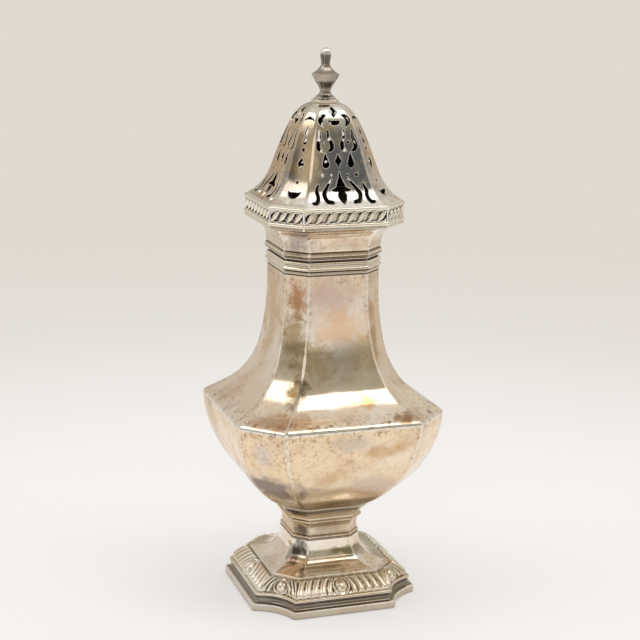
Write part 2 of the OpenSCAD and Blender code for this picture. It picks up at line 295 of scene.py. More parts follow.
def makeRing(name, shape):
    # turned work, a solid octagonal ring round a bore
    path = outlineOf(shape)
    low, high = path[0][1], path[-1][1]
    path = [(shape["bore"], low)] + path + [(shape["bore"], high), (shape["bore"], low)]
    ring = loftOctagon(name, shape, path, wrap=True)
    roundArrises(ring, shape["arris"], shape["beyond"])
    return ring


# materials

def hexColour(code):
    values = [int(code[i:i + 2], 16) / 255 for i in (1, 3, 5)]
    return [v / 12.92 if v <= 0.04045 else ((v + 0.055) / 1.055) ** 2.4 for v in values] + [1.0]


def addNode(tree, kind, settings=None, links=None):
    # a link comes from a socket, or from the first live output of a node
    node = tree.nodes.new("ShaderNode" + kind)
    for key, value in (settings or {}).items():
        if isinstance(key, str) and hasattr(node, key):
            setattr(node, key, value)
        else:
            node.inputs[key].default_value = value
    for key, source in (links or {}).items():
        if isinstance(source, bpy.types.Node):
            source = next(output for output in source.outputs if output.enabled)
        tree.links.new(source, node.inputs[key])
    return node


def clearNodes(owner):
    # an empty node tree, and the way to add to it
    owner.use_nodes = True
    owner.node_tree.nodes.clear()
    return partial(addNode, owner.node_tree)


def span(start, end, top=1.0, bottom=0.0, curve="LINEAR"):
    # settings of a value that goes from bottom at start to top at end
    limits = {"From Min": start, "From Max": end, "To Min": bottom, "To Max": top}
    return {"interpolation_type": curve} | limits


def layColours(add, ground, layers):
    # colours laid one over the other, each through its mask
    colour = None
    for mask, shade in layers:
        settings = {"data_type": "RGBA", 6: hexColour(ground), 7: hexColour(shade)}
        links = {0: mask, 6: colour} if colour else {0: mask}
        colour = add("Mix", settings, links)
    return colour


# settings of two common nodes
product = {"operation": "MULTIPLY"}
unsigned = {"operation": "ABSOLUTE"}

# how tarnish, painted highlight and painted shade are laid on every piece, pairs are where a mask starts
# and where it is full
noiseSet = {
    "tone": {"Detail": 4.0, "Roughness": 0.6}, "blush": {"Detail": 6.0, "Roughness": 0.62},
    "edge": {"Roughness": 0.72, "Distortion": 0.5}, "speck": {"Detail": 3.0, "Roughness": 0.65},
    "crumb": {"Detail": 9.0, "Roughness": 0.8}, "dent": {"Detail": 1.5, "Roughness": 0.45}}
tarnish = {
    "toneSpan": 0.25, "blushShift": (0.31, 0.17, 0.05), "blush": (0.5, 0.7), "ragged": 2.8,
    "stain": (2.35, 1.75), "bandCore": 0.8, "crowd": (0.42, 0.62), "dot": (0.58, 0.7),
    "flake": (0.52, 0.62), "arrisZone": (2.2, 0.6), "besideArris": 0.5, "patchy": (0.35, 0.6),
    "leastWear": 0.25, "crest": (0.85, 0.45), "grimeSpan": 0.4, "inside": (-0.35, -0.55),
    "haze": (0.35, 0.7), "hazeSpan": 0.14, "scuff": 0.12, "scuffDepth": 0.05, "samples": 6}


def tarnishedSilver(name, look):
    # sterling silver, raised by hammer and hand polished, then toned by air: a soft warm mirror,
    # champagne to tan in blotches, brown in specks, almost black in recesses from tarnish and painted
    # shade, with painted highlights and shade in places
    material = bpy.data.materials.new("Sterling silver, " + name)
    add = clearNodes(material)
    coords = add("TexCoord")
    place = coords.outputs["Object"]
    height = add("SeparateXYZ", {}, {0: place}).outputs["Z"]
    shifted = add("Mapping", {"Location": tarnish["blushShift"]}, {"Vector": place})
    samples = tarnish["samples"]
    noise = {}
    for key, settings in noiseSet.items():
        scale = {"Scale": 1 / (look[key + "Size"] * mm)}
        source = shifted if key == "blush" else place
        noise[key] = add("TexNoise", settings | scale, {"Vector": source})
    noise["edge"].inputs["Detail"].default_value = look["edgeDetail"]

    def nearHeight(middle, half, full, strength):
        # strength within full mm of a height, and nothing half mm away
        gap = add("Math", {"operation": "SUBTRACT", 1: middle * mm}, {0: height})
        gap = add("Math", unsigned, {0: gap})
        return add("MapRange", span(half * mm, full * mm, strength), {0: gap})

    # slow drift from clean to toned metal, then rosy blotches
    limits = span(look["toneFrom"], look["toneFrom"] + tarnish["toneSpan"])
    tone = add("MapRange", limits, {0: noise["tone"]})
    blush = add("MapRange", span(*tarnish["blush"], look["blush"]), {0: noise["blush"]})
    layers = [(tone, look["toned"]), (blush, look["rose"])]

    # patches at their places, ragged at the edge: tarnish stain, and on some pieces painted reflection,
    # highlight or shade
    for centre, (radius, tall), strength, shade in look["stainsAndPaintedLight"]:
        middle = [value * mm for value in centre]
        size = (radius * mm, radius * mm, tall * mm)
        away = add("VectorMath", {"operation": "SUBTRACT", 1: middle}, {0: place})
        away = add("VectorMath", {"operation": "DIVIDE", 1: size}, {0: away})
        away = add("VectorMath", {"operation": "LENGTH"}, {0: away})
        ragged = add("Math", {"operation": "MULTIPLY_ADD", 1: tarnish["ragged"]},
                     {0: noise["edge"], 2: away})
        mask = add("MapRange", span(*tarnish["stain"], strength), {0: ragged})
        layers.append((mask, shade))

    # dull colour at set heights: tarnish kept in the mouldings, with painted shade in grooves and under
    # ledges and near-white painted highlights on some edges
    for middle, half, strength, shade in look["bandsAndPaintedLight"]:
        layers.append((nearHeight(middle, half, half * tarnish["bandCore"], strength), shade))

    # brown specks about a millimetre across, in drifts
    crowd = add("MapRange", span(*tarnish["crowd"], look["speck"]), {0: noise["tone"]})
    dot = add("MapRange", span(*tarnish["dot"]), {0: noise["speck"]})
    specks = add("Math", product, {0: crowd, 1: dot})
    layers.append((specks, look["brown"]))

    # brown crust, broken up finely, left along edges at set heights
    flake = add("MapRange", span(*tarnish["flake"]), {0: noise["crumb"]})
    for middle, half, strength, shade in look["crust"]:
        zone = nearHeight(middle, half, 0, strength)
        mask = add("Math", product, {0: zone, 1: flake})
        layers.append((mask, shade))

    # the same crust beside the arrises, whose place in the octagon's plan is known at each height
    if look["arrisCrust"]:
        (zLow, shareLow), (zHigh, shareHigh), strength = look["arrisCrust"]
        plan = add("VectorMath", unsigned, {0: place})
        plan = add("SeparateXYZ", {}, {0: plan}).outputs
        larger = add("Math", {"operation": "MAXIMUM"}, {0: plan["X"], 1: plan["Y"]})
        smaller = add("Math", {"operation": "MINIMUM"}, {0: plan["X"], 1: plan["Y"]})
        share = add("MapRange", span(zLow * mm, zHigh * mm, shareHigh, shareLow), {0: height})
        corner = add("Math", product, {0: larger, 1: share})
        gap = add("Math", {"operation": "SUBTRACT"}, {0: smaller, 1: corner})
        gap = add("Math", unsigned, {0: gap})
        start, full = tarnish["arrisZone"]
        zone = add("MapRange", span(start * mm, full * mm, strength), {0: gap})
        mask = add("Math", product, {0: zone, 1: flake})
        layers.append((mask, look["brown"]))

    # arrises are rubbed back to clean metal, which also paints a highlight along them, with a thin brown
    # line of painted shade at each side
    worn = add("Attribute", {"attribute_name": "wear"}).outputs["Fac"]
    beside = add("Math", {"operation": "PINGPONG", 1: 0.5}, {0: worn})
    beside = add("Math", {"operation": "MULTIPLY", 1: tarnish["besideArris"]}, {0: beside})
    limits = span(*tarnish["patchy"], look["wear"], tarnish["leastWear"] * look["wear"])
    patchy = add("MapRange", limits, {0: noise["blush"]})
    rubbed = add("Math", product, {0: worn, 1: patchy})
    layers += [(beside, look["brown"]), (rubbed, look["clean"])]

    # sawn and cast edges catch the polishing cloth and are painted lighter, partly clean metal, partly a
    # painted highlight
    if look["rimWearAndSheen"]:
        reach = {"samples": samples, "inside": True, "Distance": look["rimReach"] * mm}
        crest = add("AmbientOcclusion", reach).outputs["AO"]
        bright = add("MapRange", span(*tarnish["crest"], look["rimWearAndSheen"]), {0: crest})
        layers.append((bright, look["rim"]))

    # black tarnish and painted shade in the recesses, placed by ambient occlusion
    reach = {"samples": samples, "Distance": look["grimeReach"] * mm}
    shelter = add("AmbientOcclusion", reach).outputs["AO"]
    limits = span(look["grimeFrom"], look["grimeFrom"] - tarnish["grimeSpan"], look["grimeAndShade"])
    grimeAndShade = add("MapRange", limits, {0: shelter})
    layers.append((grimeAndShade, look["black"]))

    # surfaces that look at the axis, on the inside, are darkened, almost black on the dome
    outward = add("VectorMath", {"operation": "MULTIPLY", 1: (1, 1, 0)}, {0: place})
    outward = add("VectorMath", {"operation": "NORMALIZE"}, {0: outward})
    facing = add("VectorMath", {"operation": "DOT_PRODUCT"}, {0: outward, 1: coords.outputs["Normal"]})
    inside = add("MapRange", span(*tarnish["inside"], look["insideDark"]), {0: facing})
    layers.append((inside, look["black"]))

    # blotches are hazy, planishing leaves shallow dents about 16 mm across, and cloth leaves fine scratches
    limits = span(*tarnish["haze"], look["roughness"] + tarnish["hazeSpan"], look["roughness"])
    rough = add("MapRange", limits, {0: noise["blush"]})
    soft = add("Bevel", {"samples": samples, "Radius": look["softEdge"] * mm})
    wavy = add("Bump", {"Strength": 1.0, "Distance": look["dentDepth"] * mm},
               {"Height": noise["dent"], "Normal": soft})
    depth = {"Strength": tarnish["scuff"], "Distance": tarnish["scuffDepth"] * mm}
    scuff = add("Bump", depth, {"Height": noise["speck"], "Normal": wavy})
    colour = layColours(add, look["clean"], layers)
    shader = add("BsdfPrincipled", {"Metallic": 1.0},
                 {"Base Color": colour, "Roughness": rough, "Normal": scuff})
    add("OutputMaterial", {}, {"Surface": shader})
    return material


# looks: sizes in mm, patches are (place, (radius, height), strength, shade), each a tarnish stain, a
# painted reflection, a painted highlight or painted shade, each height band, of tarnish, painted shade or
# painted highlight, and the crust are (height, half width, strength, shade)

bodyLook = {
    "clean": "#F8F3EA", "toned": "#EEDCC3", "toneSize": 34, "toneFrom": 0.32, "rose": "#CFAF98",
    "blushSize": 12, "blush": 0.55, "brown": "#8F6A42", "speckSize": 1.3, "speck": 0.75, "black": "#33281E",
    "grimeReach": 1.2, "grimeFrom": 0.6, "grimeAndShade": 0.8, "insideDark": 0.7, "roughness": 0.06, "dentSize": 16,
    "dentDepth": 0.3, "wear": 0.5, "edgeSize": 5, "edgeDetail": 8.0,
    "arrisCrust": ((68, 0.655), (116, 0.61), 0.8), "softEdge": 0.15, "rimWearAndSheen": 0, "rimReach": 0.5,
    "rim": "#F6F1E8", "crumbSize": 2.6,
    # near-white at 68.0 is a worn edge and a painted highlight; the dark lines at 122.45 and 123.95 are
    # tarnish and painted shade in the collar foot's grooves
    "bandsAndPaintedLight": [(68.0, 0.6, 0.8, "#FBF7F0"), (122.45, 0.3, 0.9, "#3A3129"), (123.95, 0.35, 0.85, "#4A3D30")],
    "crust": [(69.4, 2.6, 0.95, "#7A5731"), (114.5, 2.5, 0.5, "#94693F"), (127, 6, 0.25, "#94693F")],
    "stainsAndPaintedLight": [
        # the golden-dark patch at height 94 on the front-left corner is a painted reflection
        ((-13.5, -14.5, 108), (4.5, 10), 0.85, "#B97A4C"), ((-13.5, -13.5, 94), (6.5, 19), 0.7, "#A0854F"),
        # the dark patch at 80 on the front-left corner is painted shade, the near-white patch at 73 a
        # painted highlight on the shoulder
        ((-16.2, -22.6, 80), (4.6, 8), 0.9, "#75603A"), ((27, -22, 73), (11, 8), 0.7, "#FFF6E0"),
        ((-9, -19, 88), (7, 7), 0.35, "#B59F6C"), ((15, -17, 106), (5, 16), 0.7, "#D9B27E"),
        ((-3, -17, 109), (12, 9), 0.65, "#D8BCB0"), ((13, -17, 97), (3.2, 15), 0.7, "#BC8E52"),
        ((2, -18, 98), (13, 8), 0.7, "#F6CFA8"), ((-18, 2, 102), (10, 26), 0.7, "#D4B07C"),
        # the olive, blue-grey and golden patches near height 88 on the front, here, on the next line and at
        # (-9, -19, 88), are partly tarnish colour, partly painted reflection
        ((9, -19.5, 90), (9, 9), 0.35, "#C9AF70"), ((1, -20, 88), (9, 8), 0.3, "#A9B0B2"),
        ((-7, -20.5, 86), (8, 9), 0.4, "#BC9A62"), ((-12.5, -13, 128.5), (8, 8), 0.75, "#A2948F"),
        # the near-white patch at 132.2 on the collar's front is a painted highlight
        ((2, -19, 128), (9, 3), 0.45, "#C79C78"), ((2, -21, 132.2), (22, 3.5), 0.9, "#FFFBF2"),
        ((6, -28, 75), (6, 3.5), 0.8, "#DDA766"), ((-20, -33, 71), (10, 3), 0.6, "#C09266"),
        ((20, -34, 70), (6, 2), 0.8, "#9A7448"), ((-27, -27, 70), (9, 3), 0.55, "#BC9068"),
        # the dark patch at 76.5 on the front-left corner is painted shade
        ((-17.2, -25.2, 76.5), (4.6, 5), 0.8, "#806842"), ((-33, 6, 72), (9, 5), 0.35, "#C49A72"),
        ((5, 18, 105), (11, 12), 0.6, "#D8BCB0"), ((-13, 14, 96), (7, 16), 0.6, "#BC8E52"),
        ((18, 6, 92), (9, 14), 0.5, "#B59F6C"), ((-6, 31, 73), (12, 5), 0.7, "#B5804C"),
        ((31, 8, 72), (10, 5), 0.6, "#A9764A")]}
bowlLook = dict(
    # the dark band at 36.4 is tarnish and the foot's painted reflection; near-white at 67.7 is a worn edge
    # and a painted highlight
    bodyLook, bandsAndPaintedLight=[(36.4, 3.4, 0.55, "#8D7750"), (67.7, 0.5, 0.8, "#FBF7F0")],
    arrisCrust=((33.3, 0.62), (68, 0.655), 0.9), clean="#F9F0E1", toned="#F5DEBC", roughness=0.18,
    wear=0.55, toneFrom=0.25, speck=0.95, speckSize=1.1, blush=0.5, edgeSize=10, edgeDetail=1.5,
    crust=[(66.5, 3.5, 0.85, "#8A6238"), (58, 14, 0.45, "#B98A52")],
    stainsAndPaintedLight=[
        ((-2, -36, 63), (12, 4), 0.6, "#CBBCB0"), ((-25, -25, 58.5), (11, 7.5), 0.75, "#E0D3CA"),
        # the dark grey patch at 46.5 low on the front-left corner is painted shade
        ((-25, -23, 46.5), (16, 8), 0.8, "#7C6F6F"), ((33, -18, 57), (7, 16), 0.6, "#C2A06C"),
        ((-36, 13, 58), (8, 16), 0.6, "#C4AC80"), ((14, -33, 60), (9, 5), 0.6, "#CB9C62"),
        ((-8, -33, 50), (9, 5), 0.5, "#C99C68"), ((8, -30, 47), (9, 4), 0.45, "#CDB7AE"),
        # the dark patch at 35.8 low on the front is painted shade laid over a glint
        ((3, -21, 35.8), (18, 4.5), 0.75, "#8D7447"), ((6, 35, 60), (13, 6), 0.6, "#CBBCB0"),
        ((25, 21, 48), (14, 8), 0.7, "#8A7B78"), ((35, -4, 58), (12, 7), 0.5, "#CB9C62")])
riseLook = dict(
    bodyLook, arrisCrust=((11.4, 0.665), (20.9, 0.62), 0.4), edgeSize=9, edgeDetail=2.0, grimeAndShade=0.4,
    rimWearAndSheen=0.8, rimReach=0.35, crust=[(12, 2, 0.3, "#94693F")],
    stainsAndPaintedLight=[
        # the near-black patch at 17.0 on the front-left corner is a painted dark reflection
        ((-11.8, -10.2, 17.0), (5.0, 5.5), 0.9, "#3A3028"), ((-13.5, -12, 13.6), (4, 2.2), 0.85, "#6B4A33"),
        # the near-white band at 12.4 is a painted highlight, the olive-grey patch at 16.6 a painted
        # reflection
        ((2, -17, 12.4), (22, 2.4), 0.9, "#FFFBF4"), ((4, -13.2, 16.6), (9, 2.2), 0.85, "#97906F"),
        ((12, -11, 15), (3, 3.5), 0.5, "#8E8676")])
domeLook = dict(
    bodyLook, arrisCrust=None, clean="#DCD6CC", toned="#D3BD9C", toneFrom=0.4, insideDark=0.97, speck=0.35,
    blush=0.4, dentDepth=0.06, softEdge=0.35, rimWearAndSheen=0.95, crust=[(141, 2, 0.5, "#94693F")],
    stainsAndPaintedLight=[
        # the blue-grey patch on the front and the dark grey patch on the front-left corner's left half are
        # painted reflections
        ((2, -15, 152), (15, 21), 0.95, "#7F8591"), ((-15.5, -9.5, 155), (5.4, 24), 0.95, "#787980"),
        # the cream patch on that corner's right half is a painted reflection, the near-white patch at the
        # top a painted highlight
        ((-10, -13.6, 153), (4.2, 24), 0.97, "#FFE6C4"), ((0, -8, 169), (10, 6), 0.9, "#FFFDF8"),
        ((-16, 2, 152), (15, 28), 0.85, "#BE9F70"), ((13, -11, 153), (4.5, 18), 0.6, "#D2AC7C"),
        # the near-white band round the skirt at 141.3 is a painted highlight
        ((0, -21, 141.3), (26, 4), 0.95, "#FFFBF4")])
castLook = dict(
    bodyLook, arrisCrust=None, clean="#EDE7DC", toned="#DFD0B9", roughness=0.17, speck=0.45, blush=0.35,
    dentDepth=0.03, grimeFrom=0.75, grimeReach=1.5, grimeAndShade=0.7, rimWearAndSheen=0.6, rimReach=0.6, stainsAndPaintedLight=[],
    crust=[(1.2, 1.6, 0.4, "#8A6A48")],
    # the dark band at 3.8 is tarnish and painted shade in the rim's cove, the near-white line at 2.45 a
    # painted highlight
    bandsAndPaintedLight=[(3.8, 1.35, 0.75, "#5F564D"), (1.2, 1.2, 0.5, "#B5A594"), (2.45, 0.25, 0.7, "#FBF7F0")])
ringLook = dict(
    castLook, clean="#F9F4EB", toned="#EFE3CF", roughness=0.12, grimeReach=0.8, grimeFrom=0.68, grimeAndShade=0.9,
    rimWearAndSheen=0.8, rimReach=0.45, crust=[],
    bandsAndPaintedLight=[
        # these dark lines are tarnish and painted shade in the grooves of the neck moulding
        (116.25, 0.28, 0.8, "#4A3D30"), (117.6, 0.3, 0.85, "#3F352B"), (119.6, 0.2, 0.6, "#6B5F52"),
        (121.05, 0.38, 0.9, "#3A3129"), (122.0, 0.2, 0.8, "#3A3129")])
borderLook = dict(
    castLook, clean="#FBF6EC", toned="#EADCC4", grimeReach=1.6, grimeFrom=0.8, grimeAndShade=0.8, black="#3D3122",
    bandsAndPaintedLight=[])
ropeLook = dict(
    castLook, clean="#FBF6EC", toned="#F1E4CE", grimeFrom=0.85, grimeReach=1.1, grimeAndShade=0.9, black="#1F1912",
    rimWearAndSheen=0.9, rimReach=0.9, rim="#FFFCF5", bandsAndPaintedLight=[], crust=[])
stemLook = dict(
    # the dark band at 32.7 is tarnish and painted shade under the bowl
    castLook, clean="#EADFCC", toned="#CDB18B", blush=0.6, bandsAndPaintedLight=[(32.7, 1.2, 0.7, "#5A4E47")],
    crust=[(25, 6, 0.6, "#7A5838")],
    stainsAndPaintedLight=[
        ((-2, -12, 25), (7, 4), 0.4, "#8A6A48"), ((-9.5, -9.5, 24.5), (3.4, 2.5), 0.85, "#45362A"),
        # the near-black patch at 32.4 on the front-left is painted shade under the bowl
        ((-11.5, -10.5, 32.4), (6, 3), 0.95, "#241D16")])
finialLook = dict(
    castLook, clean="#CFC8BD", toned="#8E8478", roughness=0.09, toneSize=9, blush=0.3, grimeAndShade=0.7,
    rimWearAndSheen=0.9, rimReach=0.4,
    bandsAndPaintedLight=[
        # the dark bands at 186.2, 182.9 and 177.8 are painted shade on the lower sides of the tip, neck and
        # knop, near-white at 189.2 a painted highlight on the tip
        (186.2, 1.7, 0.75, "#4A4239"), (182.9, 1.3, 0.45, "#7A7166"), (177.8, 1.35, 0.75, "#51483F"),
        (189.2, 1.2, 0.9, "#FFFDF8")])
bodySilver = tarnishedSilver("raised and toned", bodyLook)
bowlSilver = tarnishedSilver("raised bowl, golden toned", bowlLook)
domeSilver = tarnishedSilver("pierced and toned", domeLook)
castSilver = tarnishedSilver("cast and toned", castLook)
ringSilver = tarnishedSilver("turned neck moulding", ringLook)
borderSilver = tarnishedSilver("chased foot border", borderLook)
stemSilver = tarnishedSilver("stem, brown toned", stemLook)
riseSilver = tarnishedSilver("raised foot", riseLook)
ropeSilver = tarnishedSilver("chased rope border", ropeLook)
finialSilver = tarnishedSilver("cast finial, dark toned", finialLook)
print("silver made")


# foot rim and ornamented border
# in each shape, in mm: keys are (face distance, height) up the outside, bows how far each run swells

footShape = {
    "half": 29.8, "share": 0.6154, "corner": 16.0, "sideSteps": 130, "arcSteps": 70, "topShare": 0.665,
    "wornSteps": 4}
footCount = 4 * (footShape["sideSteps"] + footShape["arcSteps"])
rimShape = {
    "inside": 25.0, "step": 0.25, "bows": [0.06, 0, 0.1, 0, -0.75, 0, 0.45, 0.05],
    "keys": [
        (29.5, 0.0), (29.8, 0.3), (29.8, 2.3), (29.45, 2.6), (29.0, 2.7), (28.3, 4.95), (28.0, 5.05),
        (28.0, 6.15), (27.4, 6.3)]}
borderShape = {
    "low": (27.4, 6.1), "high": (21.8, 10.35), "bow": 0.2,
    "lip": [(21.6, 10.6), (21.65, 10.9), (21.4, 11.05), (20.7, 11.1)], "wall": 0.9, "eggSize": (2.5, 2.5),
    "eggRise": 1.5, "frame": (1.08, 1.5), "frameRise": 0.95, "grooveRise": 0.3, "leafLow": 1.6,
    "leafRise": 1.15, "mainLeaves": [3.75, 6.2, 9.2, 12.3, 15.4, 18.6],
    "cornerLeaves": [3.75, 5.6, 7.3, 8.9], "step": 0.3, "smooth": 60, "eggLevel": 0.5, "eggCore": 0.1,
    "frameFade": 1.5, "leafLean": 0.9, "leafFoot": 1.2, "leafTip": 0.7}


def footPlan(index, half, straight):
    # point of the foot's plan: straight sides and incurved corners, straight = 1 gives a plain octagon
    quarter, step = divmod(index, footShape["sideSteps"] + footShape["arcSteps"])
    full, corner = footShape["half"], footShape["corner"]
    width = footShape["share"] * full
    side = footShape["topShare"] * full
    inCorner = step >= footShape["sideSteps"]
    if inCorner:
        along = 2 * (step - footShape["sideSteps"]) / footShape["arcSteps"] - 1
        chord = math.sqrt(2) * (full - width)
        middle = (full + width) / 2
        sweep = math.asin(chord / 2 / corner)
        away = math.sqrt(corner ** 2 - chord ** 2 / 4)
        centre = Vector((middle, -middle)) + Vector((1, -1)) * away / math.sqrt(2)
        turn = math.radians(135) - along * sweep
        bent = centre + corner * Vector((math.cos(turn), math.sin(turn)))
        plain = Vector((side, -full)).lerp(Vector((full, -side)), (along + 1) / 2)
        reach = along * chord / 2
    else:
        along = 2 * step / footShape["sideSteps"] - 1
        bent = Vector((along * width, -full))
        plain = Vector((along * footShape["topShare"], -1)) * full
        reach = along * width
    point = bent.lerp(plain, straight) * (half / full)
    point.rotate(Matrix.Rotation(quarter * math.pi / 2, 2))
    return point, reach, inCorner


def wornPlan(index, half, straight):
    # the same plan with its points worn round, as the mean of the points beside each one
    shifts = range(-footShape["wornSteps"], footShape["wornSteps"] + 1)
    points = [footPlan((index + shift) % footCount, half, straight)[0] for shift in shifts]
    return sum(points, Vector((0, 0))) / len(points)


def makeFootRing(name):
    piece = addCircle(name, footCount, footShape["half"] * mm)
    for vert in piece.data.vertices:
        point = wornPlan(vert.index, footShape["half"], 0)
        vert.co = (point.x * mm, point.y * mm, 0)
    return piece


def makeFootRim():
    rim = makeFootRing("footRim")
    path = outlineOf(rimShape)
    low, high = path[0][1], path[-1][1]
    path = path + [(rimShape["inside"], high), (rimShape["inside"], low), path[0]]
    editAll(rim)
    half, z = path[0]
    resizeRing(rim, half / footShape["half"])
    for nextHalf, nextZ in path[1:]:
        raiseRing(nextZ - z)
        resizeRing(rim, nextHalf / half)
        half, z = nextHalf, nextZ
    closeEdit(weld=True)
    polish(rim)
    settle(rim, "foot_rim", "caster_body", castSilver)


def leafRelief(x, y, length, marks):
    # leaves nested round the egg, upright below and leaning over it above
    above = max(0.0, y - borderShape["leafLow"])
    away = math.hypot(x, borderShape["leafLean"] * above)
    for start, end in zip(marks, marks[1:]):
        if start <= away < end:
            part = (away - start) / (end - start)
            crown = max(0.0, 1 - (2 * part - 1) ** 2) ** 0.5
            foot = min(1.0, y / borderShape["leafFoot"])
            ends = foot * min(1.0, max(0.0, (length - y) / borderShape["leafTip"]))
            return borderShape["leafRise"] * crown * math.sin(ends * math.pi / 2)
    return 0.0


def borderRelief(reach, y, slope, inCorner):
    # an egg in its frame at the middle of each side, with leaves to either hand
    wide, tall = borderShape["eggSize"]
    start, end = borderShape["frame"]
    away = math.hypot(reach / wide, (y - slope * borderShape["eggLevel"]) / tall)
    egg = borderShape["eggRise"] * max(0.0, 1 - away * away) ** 0.5
    ring = borderShape["frameRise"] * max(0.0, 1 - ((2 * away - start - end) / (end - start)) ** 2) ** 0.5
    ring = ring * min(1.0, borderShape["frameFade"] * abs(reach) / wide / max(away, borderShape["eggCore"]))
    leaves = leafRelief(reach, y, slope, borderShape["cornerLeaves" if inCorner else "mainLeaves"])
    return max(egg, ring, leaves if away > end else borderShape["grooveRise"])


def planKey(vert):
    return round(vert.co.x / weldReach), round(vert.co.y / weldReach)


def makeFootBorder():
    border = makeFootRing("footBorder")
    ovolo = bowedPath([borderShape["low"], borderShape["high"]], [borderShape["bow"]], borderShape["step"])
    path = ovolo + borderShape["lip"]
    lengths = [0.0]
    for start, end in zip(path, path[1:]):
        lengths.append(lengths[-1] + (Vector(end) - Vector(start)).length)
    slope = lengths[len(ovolo) - 1]
    places = {planKey(vert): vert.index for vert in border.data.vertices}
    # one row of points per millimetre of height, so that each point can be found and put in its place
    editAll(border)
    for row in path[1:]:
        raiseRing(1)
    setMode("OBJECT")
    rows = [[None] * footCount for row in path]
    for vert in border.data.vertices:
        rows[round(vert.co.z / mm)][places[planKey(vert)]] = vert
    points = []
    for length, (half, z) in zip(lengths, path):
        straight = min(1.0, length / slope)
        points.append([Vector((*wornPlan(index, half, straight), z)) for index in range(footCount)])
    for row, y in enumerate(lengths):
        lower, upper = points[max(row - 1, 0)], points[min(row + 1, len(path) - 1)]
        for index in range(footCount):
            around = points[row][(index + 1) % footCount] - points[row][index - 1]
            outward = around.cross(upper[index] - lower[index]).normalized()
            reach, inCorner = footPlan(index, path[row][0], 0)[1:]
            rise = borderRelief(reach, y, slope, inCorner) if y <= slope else 0.0
            rows[row][index].co = (points[row][index] + outward * rise) * mm
    editAll(border)
    closeEdit()
    applyModifier(border, "SOLIDIFY", {"thickness": borderShape["wall"] * mm, "offset": -1})
    pick(border)
    bpy.ops.object.shade_smooth_by_angle(angle=math.radians(borderShape["smooth"]))
    settle(border, "foot_border", "caster_body", borderSilver)


# foot rise

riseShape = {
    "low": (11.4, 0.665), "high": (20.9, 0.62), "wall": 1.1, "arris": 0.7, "step": 0.4,
    "foot": [(21.2, 10.9), (21.2, 11.3), (20.9, 11.5)], "footBows": [0, 0.08],
    "keys": [
        (20.85, 11.52), (19.0, 11.9), (17.2, 12.45), (15.8, 13.05), (15.15, 13.55), (14.68, 14.05),
        (14.16, 14.6), (13.68, 15.1), (13.2, 15.8), (12.85, 16.5), (12.58, 17.4), (12.4, 19.4),
        (12.3, 20.9)]}


def makeFootRise():
    rise = makeShell("footRise", riseShape)
    settle(rise, "foot_rise", "caster_body", riseSilver)


# stem

stemShape = {
    "share": 0.62, "bore": 8.6, "arris": 0.35, "step": 0.35, "beyond": 9.6,
    "keys": [
        (12.0, 20.9), (12.0, 21.15), (11.75, 21.25), (11.7, 22.5), (11.6, 22.6), (11.8, 22.75),
        (12.3, 26.95), (12.55, 27.15), (12.65, 28.5), (12.6, 28.8), (14.3, 31.3), (14.9, 31.5),
        (16.1, 33.4), (16.25, 33.75), (15.9, 34.0)],
    "bows": [0, 0, 0.5, 0, 0, -0.4, 0, 0.5, 0, -0.3, 0, -0.15, 0.05, 0.05]}


def makeStem():
    stem = makeRing("turnedStem", stemShape)
    polish(stem)
    settle(stem, "stem", "caster_body", stemSilver)


# bowl and upper body

bowlShape = {
    "low": (33.3, 0.62), "high": (68.0, 0.655), "wall": 1.1, "arris": 1.2, "step": 0.8,
    "keys": [(15.5, 33.3), (36.5, 67.7)], "bows": [5.4]}
upperShape = {
    "low": (68.0, 0.655), "high": (116.0, 0.61), "wall": 1.1, "arris": 0.8, "step": 0.7,
    "keys": [
        (36.5, 67.7), (36.45, 68.0), (36.15, 68.5), (35.3, 69.25), (31.9, 71.3), (29.2, 73.2), (26.2, 75.8),
        (24.35, 77.9), (21.8, 81.9), (19.7, 87.0), (18.2, 94.0), (17.1, 104.0), (16.95, 110.0),
        (16.9, 116.0)]}


def makeBody():
    bowl = makeShell("raisedBowl", bowlShape, closeLow=True)
    settle(bowl, "bowl", "caster_body", bowlSilver)
    upper = makeShell("upperBody", upperShape)
    settle(upper, "upper_body", "caster_body", bodySilver)


# neck moulding

neckShape = {
    "share": 0.61, "bore": 15.45, "arris": 0.35, "step": 0.3, "beyond": 15.75,
    "keys": [
        (16.9, 116.0), (16.4, 116.05), (16.4, 116.45), (17.0, 116.55), (17.0, 116.85), (16.75, 117.35),
        (16.4, 117.4), (16.4, 117.8), (17.55, 117.9), (17.6, 118.2), (17.0, 119.0), (16.9, 119.65),
        (17.3, 119.75), (17.3, 120.1), (16.9, 120.7), (16.4, 120.8), (16.4, 121.3), (16.9, 121.4),
        (16.9, 121.7), (16.6, 122.0)],
    "bows": [0, 0, 0, 0.06, 0.06, 0, 0, 0, 0.06, 0.08, 0, 0, 0.06, 0.08, 0, 0, 0, 0.06, 0.05]}


def makeNeckMoulding():
    ring = makeRing("neckMoulding", neckShape)
    polish(ring)
    settle(ring, "neck_moulding", "caster_body", ringSilver)


# cover collar

collarShape = {
    "low": (122.25, 0.61), "high": (133.4, 0.62), "wall": 0.8, "arris": 0.6, "step": 0.4,
    "footBows": [0, 0, 0.06, 0.08, 0],
    "foot": [(16.3, 122.3), (16.3, 122.6), (16.95, 122.7), (16.95, 123.0), (16.5, 123.65), (16.25, 123.75)],
    "keys": [
        (16.25, 124.2), (16.5, 124.6), (16.8, 127.2), (17.6, 129.4), (19.2, 131.3), (21.2, 132.6),
        (22.9, 133.15), (23.6, 133.4)]}


def makeCoverCollar():
    collar = makeShell("coverCollar", collarShape)
    settle(collar, "cover_collar", "cover", bodySilver)


# border ring, with sunk panels, and the rope lobes in them

